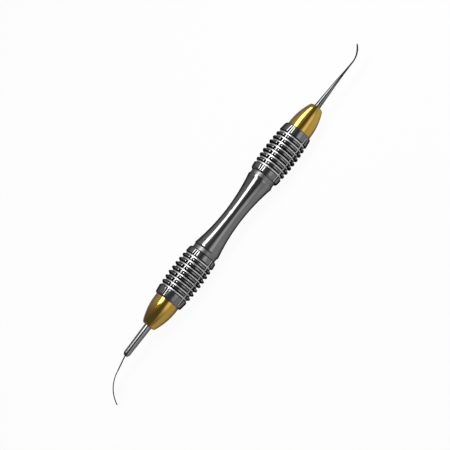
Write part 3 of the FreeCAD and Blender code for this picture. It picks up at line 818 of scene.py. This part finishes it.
# How far each painted shade, painted highlight and rougher finish of the handle reaches, in millimetres, and
# how wide its soft edge is
RIBBED_HALF = 7.95
GRIP_HALF = 10.3
GRIP_EDGE = 0.3
FLOOR_REACH = 5.75
FLOOR_EDGE = 0.06
WALL_DEPTH = 0.02
WALL_EDGE = 0.04
MOUTH_EDGE = 0.03
NECK_EDGE = 0.05
LONG_MOUTH_HALF = 1.2
SOFT_EDGE = 0.1

# A lengthwise groove's soft edges: its floor's, measured from where it meets a side, its sides', as
# depths under the barrel, and the lower edge of both, measured from its own floor's height
LONG_FLOOR_EDGES = (0.04, -0.02)
LONG_WALL_DEPTHS = (0.09, 0.15)
LONG_LOWER_EDGES = (-0.16, -0.1)

# Painted shade: black on the grooves' walls. Painted highlight: pale on the grooves' floors.
RING_WALL_PAINTED_SHADE = (0.012, 0.012, 0.013)
LONG_WALL_PAINTED_SHADE = (0.015, 0.015, 0.016)
RING_FLOOR_PAINTED_HIGHLIGHT = (0.62, 0.62, 0.63)
LONG_FLOOR_PAINTED_HIGHLIGHT = (0.6, 0.6, 0.61)
NECK_ROUGH = 0.4
WALL_ROUGH = 0.45
RING_FLOOR_ROUGH = 0.42
LONG_FLOOR_ROUGH = 0.6


def ring_painted_light_and_finish(nodes, links, r, u, depth):
    """Shares of a ring groove's walls and of its floor, both 0 outside the rings.

    The rings' middles lie half a pitch from the grip's middle and then a pitch apart, so u folded
    back and forth over half a pitch is 0 at a rib's middle. A wall starts a little under the barrel,
    and a floor lies under a fixed r. The walls get painted shade and the floors a painted highlight,
    both on top of their own roughness.
    """
    ribbed = step_between(nodes, links, u, RIBBED_HALF * MM, (RIBBED_HALF - SOFT_EDGE) * MM)
    from_rib = calculate(nodes, links, "PINGPONG", u, PITCH / 2 * MM)
    mouth = (PITCH - RING_MOUTH) / 2
    in_ring = step_between(nodes, links, from_rib, (mouth - MOUTH_EDGE) * MM, (mouth + MOUTH_EDGE) * MM)
    ribbed = calculate(nodes, links, "MULTIPLY", ribbed, in_ring)
    floor = step_between(nodes, links, r, FLOOR_REACH * MM, (FLOOR_REACH - FLOOR_EDGE) * MM)
    wall = step_between(nodes, links, depth, WALL_DEPTH * MM, (WALL_DEPTH + WALL_EDGE) * MM)
    wall = calculate(nodes, links, "MULTIPLY", wall, ribbed)
    return wall, calculate(nodes, links, "MULTIPLY", floor, ribbed)


def lengthwise_painted_light_and_finish(nodes, links, y, z, r, u, fall, depth):
    """Shares of a lengthwise groove's sides and of its floor, both 0 off the grips.

    The angle round the axis, folded back and forth over half a sector, is 0 at a groove's middle, and
    q = r sin(folded angle) is the distance from the groove's middle plane. Both shares end at the
    height of the groove's own floor, which falls by a share of the barrel's fall. The sides get painted
    shade, and the floor a painted highlight on top of a rougher finish.
    """
    angle = calculate(nodes, links, "ARCTAN2", z, y)
    angle = calculate(nodes, links, "SUBTRACT", angle, LONG_TURN + math.pi / 2 + ROLL)
    angle = calculate(nodes, links, "PINGPONG", angle, math.pi / LONG_GROOVES)
    q = calculate(nodes, links, "MULTIPLY", r, calculate(nodes, links, "SINE", angle))
    lift = calculate(nodes, links, "ADD", r, calculate(nodes, links, "MULTIPLY", fall, LONG_FOLLOW))
    low, high = LONG_LOWER_EDGES
    above = step_between(nodes, links, lift, (LONG_FLOOR + low) * MM, (LONG_FLOOR + high) * MM)
    on_grip = step_between(nodes, links, u, (GRIP_HALF + GRIP_EDGE) * MM, GRIP_HALF * MM)
    grooved = calculate(nodes, links, "MULTIPLY", on_grip, above)
    outer, inner = LONG_FLOOR_EDGES
    floor = step_between(nodes, links, q, (LONG_FLOOR_HALF + outer) * MM, (LONG_FLOOR_HALF + inner) * MM)
    side = step_between(nodes, links, q, LONG_MOUTH_HALF * MM, (LONG_MOUTH_HALF - SOFT_EDGE) * MM)
    shallow, deep = LONG_WALL_DEPTHS
    sunk = step_between(nodes, links, depth, shallow * MM, deep * MM)
    side = calculate(nodes, links, "MULTIPLY", calculate(nodes, links, "MULTIPLY", side, grooved), sunk)
    return side, calculate(nodes, links, "MULTIPLY", floor, grooved)


def gunmetal_chrome():
    """Dark polished metal; its grooves' walls are coloured black as painted shade and their turned floors
    pale as a painted highlight.

    r is the distance from the handle's axis and u the distance along it from the nearer grip's
    middle. The barrel's height is the grip radius less its fall, u^2 / (2 barrel radius).
    """
    material, nodes, links, shader, colour, roughness = metal("gunmetal_chrome", *GUNMETAL)
    place = own_coordinates(nodes, links, PLAIN, (0.0, 0.0, -AXIS_HEIGHT * MM))
    x, y, z = split_place(nodes, links, place)
    r = distance_from_axis(nodes, links, y, z)
    distance = calculate(nodes, links, "ABSOLUTE", x)
    u = calculate(nodes, links, "ABSOLUTE", calculate(nodes, links, "SUBTRACT", distance, GRIP_CENTRE * MM))
    fall = calculate(nodes, links, "DIVIDE", calculate(nodes, links, "MULTIPLY", u, u), 2 * BARREL * MM)
    height = calculate(nodes, links, "SUBTRACT", GRIP_RADIUS * MM, fall)
    depth = calculate(nodes, links, "SUBTRACT", height, r)
    wall, floor = ring_painted_light_and_finish(nodes, links, r, u, depth)
    long_wall, long_floor = lengthwise_painted_light_and_finish(nodes, links, y, z, r, u, fall, depth)
    from_neck = calculate(nodes, links, "SUBTRACT", distance, (WAIST_HALF + NECK_LENGTH / 2) * MM)
    from_neck = calculate(nodes, links, "ABSOLUTE", from_neck)
    neck = step_between(nodes, links, from_neck, NECK_LENGTH / 2 * MM, (NECK_LENGTH / 2 - NECK_EDGE) * MM)
    # Painted shade, black, on the grooves' walls and a painted highlight, pale, on their floors
    for share, finish in (
        (long_wall, LONG_WALL_PAINTED_SHADE), (wall, RING_WALL_PAINTED_SHADE),
        (long_floor, LONG_FLOOR_PAINTED_HIGHLIGHT), (floor, RING_FLOOR_PAINTED_HIGHLIGHT),
    ):
        colour = blend(nodes, links, share, colour, finish)
    for share, finish in (
        (neck, NECK_ROUGH), (long_floor, LONG_FLOOR_ROUGH), (wall, WALL_ROUGH), (floor, RING_FLOOR_ROUGH),
    ):
        roughness = blend_number(nodes, links, share, roughness, finish)
    links.new(colour, shader.inputs["Base Color"])
    links.new(roughness, shader.inputs["Roughness"])
    return material


GLOSS_WEIGHT = 0.8
GLOSS_INDEX = 1.7
GLOSS_ROUGH = 0.12


def gold_coating():
    """Gold-coloured hard coating with a clear gloss over it."""
    material, _, _, shader, _, _ = metal("gold_coating", *GOLD, rim=GOLD_RIM)
    shader.inputs["Coat Weight"].default_value = GLOSS_WEIGHT
    shader.inputs["Coat IOR"].default_value = GLOSS_INDEX
    shader.inputs["Coat Roughness"].default_value = GLOSS_ROUGH
    return material


LEAF_FADE = 2.5
LEAF_DARK = (0.03, 0.03, 0.031)
LEAF_ROUGH = 0.25


def tip_steel():
    """Polished steel on the taper and darker, duller steel on the leaf, where x is past the shank's end."""
    material, nodes, links, shader, colour, roughness = metal("tip_steel", *TAPER_STEEL)
    x, _, _ = split_place(nodes, links, own_coordinates(nodes, links, PLAIN))
    leaf = HALF_HANDLE + CONE_LENGTH + TIP_SHANK_LENGTH
    on_leaf = step_between(nodes, links, x, (leaf - LEAF_FADE) * MM, (leaf + LEAF_FADE) * MM)
    links.new(blend(nodes, links, on_leaf, colour, LEAF_DARK), shader.inputs["Base Color"])
    links.new(blend_number(nodes, links, on_leaf, roughness, LEAF_ROUGH), shader.inputs["Roughness"])
    return material


def polished_steel():
    """Bright steel with fine turned lines."""
    return metal("polished_steel", *STEEL)[0]


def satin_spring_steel():
    """Dull dark steel with its fine lines along the blade."""
    return metal("satin_spring_steel", *SPRING_STEEL, lines=LENGTHWISE_LINES)[0]


# Pieces

gold = gold_coating()
dress(make_handle(), gunmetal_chrome(), "handle")
dress(make_cone("gold_lower_cone", "lower", SHANK_ROOT), gold, "lower_cone")
dress(make_cone("gold_upper_cone", "upper", TIP_SHANK_ROOT), gold, "upper_cone")
dress(make_lower_shank(), polished_steel(), "lower_shank")
dress(make_blade(), satin_spring_steel(), "spatula_blade")
dress(make_upper_tip(), tip_steel(), "upper_tip")


# Table

TABLE_REACH = 3.0
TABLE_GREY = (0.6, 0.6, 0.6, 1.0)
TABLE_ROUGH = 0.9
TABLE_SHEEN = 0.1
WHITE = (1.0, 1.0, 1.0, 1.0)
SEEN_WHITE = 0.95
MIRRORED_WHITE = 0.15


def make_table():
    """A wide flat square, shown nearly white to the camera and partly white in reflections."""
    corners = [(-1, -1, 0), (1, -1, 0), (1, 1, 0), (-1, 1, 0)]
    mesh = bpy.data.meshes.new("pale_table")
    mesh.from_pydata([Vector(corner) * TABLE_REACH for corner in corners], [], [(0, 1, 2, 3)])
    table = bpy.data.objects.new("pale_table", mesh)
    bpy.context.collection.objects.link(table)
    material, nodes, links, shader = new_material("pale_table")
    shader.inputs["Base Color"].default_value = TABLE_GREY
    shader.inputs["Roughness"].default_value = TABLE_ROUGH
    shader.inputs["Specular IOR Level"].default_value = TABLE_SHEEN
    paper = nodes.new("ShaderNodeEmission")
    paper.inputs["Color"].default_value = WHITE
    paper.inputs["Strength"].default_value = 1.0
    path = nodes.new("ShaderNodeLightPath")
    seen = calculate(nodes, links, "MULTIPLY", path.outputs["Is Camera Ray"], SEEN_WHITE)
    mirrored = calculate(
        nodes, links, "MAXIMUM", path.outputs["Is Glossy Ray"], path.outputs["Is Transmission Ray"]
    )
    mirrored = calculate(nodes, links, "MULTIPLY", mirrored, MIRRORED_WHITE)
    share = calculate(nodes, links, "MAXIMUM", seen, mirrored)
    mix = nodes.new("ShaderNodeMixShader")
    links.new(share, mix.inputs["Fac"])
    links.new(shader.outputs["BSDF"], mix.inputs[1])
    links.new(paper.outputs["Emission"], mix.inputs[2])
    links.new(mix.outputs["Shader"], nodes["Material Output"].inputs["Surface"])
    mesh.materials.append(material)


make_table()


# Camera, set by where one point of the handle's axis, the aim, and the axis itself lie in the image

IMAGE = 450
FOCAL_PIXELS = 1493.3
SENSOR_WIDTH = 36.0
NEAREST_SEEN = 0.01
# The pixel at which the aim appears, and the axis's direction in the image with up as positive
CENTRE_PIXEL = (237.055, 210.807)
AXIS_IN_IMAGE = (0.61071, 0.79185)
DISTANCE = 0.560
LEAN = math.radians(8.0)
AIM_ALONG = 2.24
square_on = Vector((0.0, -math.sin(ROLL), math.cos(ROLL)))
down_image = Vector((0.0, -math.cos(ROLL), -math.sin(ROLL)))
along = Vector((1.0, 0.0, 0.0))
aim = Vector((AIM_ALONG, 0.0, AXIS_HEIGHT)) * MM


def make_camera():
    """The camera whose line of sight to the aim leans back by LEAN from square on.

    The line to the aim and the handle's axis are known both in the image and on the table, so the
    two sets of three square directions give the camera's turn.
    """
    sight = (along * math.sin(LEAN) - square_on * math.cos(LEAN)).normalized()
    axis = (along - sight * along.dot(sight)).normalized()
    ray = Vector((CENTRE_PIXEL[0] - IMAGE / 2, IMAGE / 2 - CENTRE_PIXEL[1], -FOCAL_PIXELS)).normalized()
    drawn = Vector((AXIS_IN_IMAGE[0], AXIS_IN_IMAGE[1], 0.0))
    drawn = (drawn - ray * drawn.dot(ray)).normalized()
    seen = Matrix((ray, drawn, ray.cross(drawn))).transposed()
    real = Matrix((sight, axis, sight.cross(axis))).transposed()
    turn = real @ seen.transposed()
    data = bpy.data.cameras.new("camera")
    data.sensor_width = SENSOR_WIDTH
    data.lens = FOCAL_PIXELS * SENSOR_WIDTH / IMAGE
    data.clip_start = NEAREST_SEEN
    camera = bpy.data.objects.new("camera", data)
    camera.matrix_world = Matrix.Translation(aim - sight * DISTANCE) @ turn.to_4x4()
    bpy.context.collection.objects.link(camera)
    bpy.context.scene.camera = camera


make_camera()


# Light: one long softbox almost overhead, and the studio round it

def toward(angle):
    """The direction at an angle from square on, in the plane across the handle, positive down the image."""
    return square_on * math.cos(angle) + down_image * math.sin(angle)


def make_softbox(name, angle, skew, distance, width, length, shift, power):
    """A rectangular lamp facing the handle, its long side along the handle but for the skew.

    Up is square to the lamp's own line of sight, and the skew turns the long side about that line.
    """
    data = bpy.data.lights.new(name, "AREA")
    data.shape = "RECTANGLE"
    data.size = length
    data.size_y = width
    data.energy = power
    lamp = bpy.data.objects.new(name, data)
    away = toward(angle)
    up = away.cross(along).normalized()
    long_side = along * math.cos(skew) + up * math.sin(skew)
    turn = Matrix((long_side, away.cross(long_side), away)).transposed()
    place = Vector((shift, 0.0, AXIS_HEIGHT * MM)) + away * distance
    lamp.matrix_world = Matrix.Translation(place) @ turn.to_4x4()
    lamp.visible_camera = False
    bpy.context.collection.objects.link(lamp)


make_softbox(
    "long_softbox", angle=math.radians(-54), skew=math.radians(17), distance=0.25, width=0.11, length=0.405,
    shift=0.135, power=0.98,
)

# The room's light by degrees from square on, and how much of it is left by the cosine along the handle
ROOM = (
    (-180, 0.3), (-130, 0.3), (-95, 0.5), (-72, 0.55), (-40, 0.4), (-24, 0.28), (-15, 0.15), (3, 0.11),
    (11, 0.35), (18, 1.05), (26, 1.4), (36, 1.2), (46, 1.0), (60, 0.8), (150, 0.6),
)
ROOM_ENDS = ((-1.0, 0.2), (-0.5, 0.25), (-0.25, 0.5), (-0.02, 1.0), (0.6, 1.0), (0.95, 0.3))
DARKEST_ROOM = 0.13


def direction_share(nodes, links, where, direction):
    """The cosine between the direction looked at and a fixed one."""
    product = nodes.new("ShaderNodeVectorMath")
    product.operation = "DOT_PRODUCT"
    product.inputs[1].default_value = direction
    links.new(where, product.inputs[0])
    return product.outputs["Value"]


def make_studio():
    """The room by direction: a bright low front, a dark camera side and a dim back.

    The angle round the handle is atan2(cosine down the image, cosine square on). Its light is
    multiplied by what is left at that slant along the handle, and is never under the darkest.
    """
    world = bpy.data.worlds.new("studio")
    bpy.context.scene.world = world
    world.use_nodes = True
    nodes, links = world.node_tree.nodes, world.node_tree.links
    where = nodes.new("ShaderNodeTexCoord").outputs["Generated"]
    down = direction_share(nodes, links, where, down_image)
    out = direction_share(nodes, links, where, square_on)
    angle = calculate(nodes, links, "ARCTAN2", down, out)
    round_handle = step_between(nodes, links, angle, -math.pi, math.pi)
    room = ramp(nodes, links, round_handle, [((a + 180) / 360, (v, v, v)) for a, v in ROOM])
    lengthwise = step_between(nodes, links, direction_share(nodes, links, where, along), -1.0, 1.0)
    left = ramp(nodes, links, lengthwise, [((a + 1) / 2, (v, v, v)) for a, v in ROOM_ENDS])
    light = calculate(nodes, links, "MAXIMUM", calculate(nodes, links, "MULTIPLY", room, left), DARKEST_ROOM)
    nodes["Background"].inputs["Color"].default_value = WHITE
    links.new(light, nodes["Background"].inputs["Strength"])


make_studio()

bpy.context.scene.view_settings.view_transform = "Standard"
